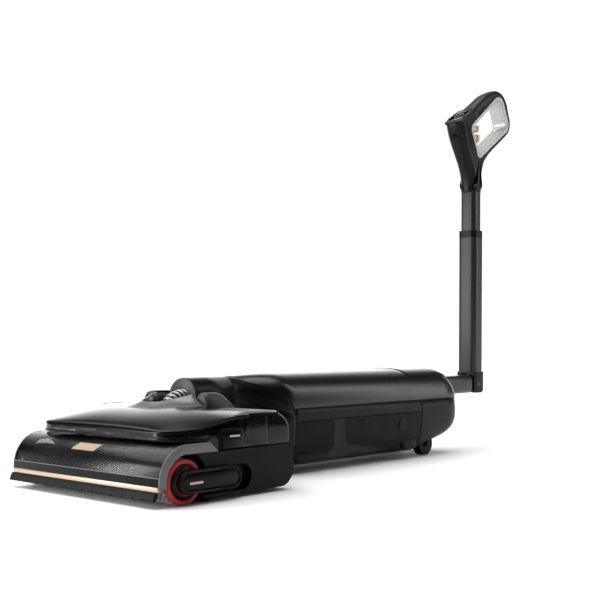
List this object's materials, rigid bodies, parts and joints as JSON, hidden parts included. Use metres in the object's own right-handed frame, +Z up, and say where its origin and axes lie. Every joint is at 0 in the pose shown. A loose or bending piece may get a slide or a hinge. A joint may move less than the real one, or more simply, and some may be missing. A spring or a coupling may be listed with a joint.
{
  "type": "wet dry floor scrubber",
  "caption": "Cordless wet dry floor scrubber lying flat: wide roller head under a see-through hood, tilting neck, cylindrical body and a folding telescopic handle with a loop grip.",
  "frame": {"origin": "on the floor, at the middle of the width and of the whole length", "axes": "+Z up, -Y towards the front of the cleaning head, +Y towards the handle, +X to the side with the roller release"},
  "size_m": [0.2868, 0.93, 0.614],
  "materials": {
    "plastic_black": "satin black moulded plastic",
    "plastic_charcoal": "satin charcoal moulded plastic",
    "plastic_gloss": "gloss black moulded plastic",
    "plastic_gray": "satin mid gray moulded plastic",
    "plastic_light": "satin light gray moulded plastic",
    "plastic_white": "plain off-white moulded plastic",
    "accent_beige": "satin champagne moulded plastic",
    "trim_silver": "satin silver coated plastic",
    "smoked_clear": "smoked see-through plastic",
    "motor_metal": "plain cast and drawn metal can",
    "steel": "turned steel",
    "tube_alu": "black anodised drawn tube",
    "battery_blue": "shrink-wrapped cell pack",
    "rubber_black": "moulded rubber",
    "nap_gray": "speckled microfibre pile",
    "bristle_red": "red bristle ring",
    "hose_silver": "corrugated flexible hose",
    "display_black": "gloss black display window"
  },
  "bodies": {
    "head": {"chassis": "plastic_black", "side_panel_right": "plastic_charcoal", "side_panel_left": "plastic_charcoal", "spray_bar": "plastic_charcoal", "roller_motor": "motor_metal", "roller_cap_left": "plastic_gloss", "arm_rear_right": "plastic_gloss", "rear_squeegee": "rubber_black", "neck_mount": "plastic_gray", "pivot_pins": "steel", "wheel_axles": "steel", "suction_duct": "plastic_charcoal", "air_hose": "hose_silver"},
    "hood": {"roller_hood": "smoked_clear", "hood_end_bands": "plastic_gray", "hood_front_strip": "plastic_gloss", "accent_strip": "accent_beige", "front_bumper": "rubber_black"},
    "roller_cap": {"roller_cap_right": "plastic_gloss"},
    "release_lever": {"release_lever": "plastic_gloss"},
    "roller": {"roller_core": "plastic_light", "roller_nap": "nap_gray", "end_rings": "bristle_red"},
    "tank": {"dirty_tank": "smoked_clear", "tank_seal": "rubber_black"},
    "lid": {"tank_lid": "plastic_gloss", "lid_nose": "plastic_gray", "strainer": "plastic_charcoal"},
    "float": {"float_valve": "plastic_white"},
    "tank_grip_right": {"tank_grip_right": "plastic_light"},
    "tank_grip_left": {"tank_grip_left": "plastic_light"},
    "tank_latch_right": {"tank_latch_right": "plastic_gloss"},
    "tank_latch_left": {"tank_latch_left": "plastic_gloss"},
    "wheel_right": {"wheel_hub_right": "plastic_charcoal", "wheel_tyre_right": "rubber_black"},
    "wheel_left": {"wheel_hub_left": "plastic_charcoal", "wheel_tyre_left": "rubber_black"},
    "gimbal": {"neck_gimbal": "plastic_charcoal", "swivel_pin": "steel"},
    "body": {"neck_tube": "plastic_black", "neck_cap": "plastic_gray", "lower_shell": "plastic_black", "top_shell": "plastic_black", "rear_cover": "plastic_charcoal", "fan_motor": "motor_metal", "battery_pack": "battery_blue", "water_pump": "plastic_white", "stub_tube": "tube_alu", "fold_pin": "steel"},
    "tail_wheels": {"tail_wheels": "rubber_black"},
    "clean_tank": {"clean_tank": "smoked_clear", "clean_tank_cap": "plastic_gloss"},
    "fold_button": {"fold_button": "plastic_gray"},
    "mast": {"outer_tube": "tube_alu"},
    "grip": {"inner_tube": "tube_alu", "grip_shell": "plastic_black", "grip_trim": "trim_silver", "display_panel": "display_black"},
    "power_trigger": {"power_trigger": "accent_beige"},
    "mode_trigger": {"mode_trigger": "accent_beige"}
  },
  "joints": [
    {"name": "hood_slide", "type": "slide", "parent": "head", "child": "hood", "axis": [0, -1, 0], "range_m": [0, 0.08]},
    {"name": "roller_pull", "type": "slide", "parent": "head", "child": "roller_cap", "axis": [1, 0, 0], "range_m": [0, 0.27]},
    {"name": "lever_hinge", "type": "hinge", "parent": "roller_cap", "child": "release_lever", "pos_m": [0.142, -0.43, 0.0255], "axis": [0, 0, 1], "range_deg": [-50, 0]},
    {"name": "roller_spin", "type": "hinge", "parent": "roller_cap", "child": "roller", "pos_m": [0, -0.4235, 0.0255], "axis": [1, 0, 0], "continuous": true},
    {"name": "tank_lift", "type": "slide", "parent": "head", "child": "tank", "axis": [0, 0, 1], "range_m": [0, 0.05]},
    {"name": "lid_lift", "type": "slide", "parent": "tank", "child": "lid", "axis": [0, 0, 1], "range_m": [0, 0.03]},
    {"name": "float_rise", "type": "slide", "parent": "tank", "child": "float", "axis": [0, 0, 1], "range_m": [0, 0.008]},
    {"name": "grip_right_hinge", "type": "hinge", "parent": "tank", "child": "tank_grip_right", "pos_m": [0.09, -0.3125, 0.0942], "axis": [1, 0, 0], "range_deg": [0, 90]},
    {"name": "grip_left_hinge", "type": "hinge", "parent": "tank", "child": "tank_grip_left", "pos_m": [-0.09, -0.3125, 0.0942], "axis": [1, 0, 0], "range_deg": [0, 90]},
    {"name": "latch_right_press", "type": "slide", "parent": "tank", "child": "tank_latch_right", "axis": [-1, 0, 0], "range_m": [0, 0.0015], "stiffness_N_per_m": 600, "springref_m": -0.001},
    {"name": "latch_left_press", "type": "slide", "parent": "tank", "child": "tank_latch_left", "axis": [1, 0, 0], "range_m": [0, 0.0015], "stiffness_N_per_m": 600, "springref_m": -0.001},
    {"name": "wheel_right_spin", "type": "hinge", "parent": "head", "child": "wheel_right", "pos_m": [0.099, -0.2855, 0.024], "axis": [1, 0, 0], "continuous": true},
    {"name": "wheel_left_spin", "type": "hinge", "parent": "head", "child": "wheel_left", "pos_m": [-0.099, -0.2855, 0.024], "axis": [1, 0, 0], "continuous": true},
    {"name": "neck_tilt", "type": "hinge", "parent": "head", "child": "gimbal", "pos_m": [0, -0.2955, 0.097], "axis": [1, 0, 0], "range_deg": [0, 80], "deforming": ["air_hose"]},
    {"name": "neck_swivel", "type": "hinge", "parent": "gimbal", "child": "body", "pos_m": [0, -0.2955, 0.08], "axis": [0, 0, 1], "range_deg": [-15, 15]},
    {"name": "tail_spin", "type": "hinge", "parent": "body", "child": "tail_wheels", "pos_m": [0, 0.1655, 0.017], "axis": [1, 0, 0], "continuous": true},
    {"name": "clean_tank_drop", "type": "slide", "parent": "body", "child": "clean_tank", "axis": [0, 0, -1], "range_m": [0, 0.08]},
    {"name": "fold_button_press", "type": "slide", "parent": "body", "child": "fold_button", "axis": [0, 0, -1], "range_m": [0, 0.0015], "stiffness_N_per_m": 500, "springref_m": -0.001},
    {"name": "handle_fold", "type": "hinge", "parent": "body", "child": "mast", "pos_m": [0, 0.356, 0.1035], "axis": [1, 0, 0], "range_deg": [-90, 0]},
    {"name": "handle_slide", "type": "slide", "parent": "mast", "child": "grip", "axis": [0, 0, 1], "range_m": [-0.055, 0.12]},
    {"name": "power_press", "type": "slide", "parent": "grip", "child": "power_trigger", "axis": [0, -1, 0], "range_m": [0, 0.0015], "stiffness_N_per_m": 400, "springref_m": -0.001},
    {"name": "mode_press", "type": "slide", "parent": "grip", "child": "mode_trigger", "axis": [0, -1, 0], "range_m": [0, 0.0015], "stiffness_N_per_m": 400, "springref_m": -0.001}
  ]
}
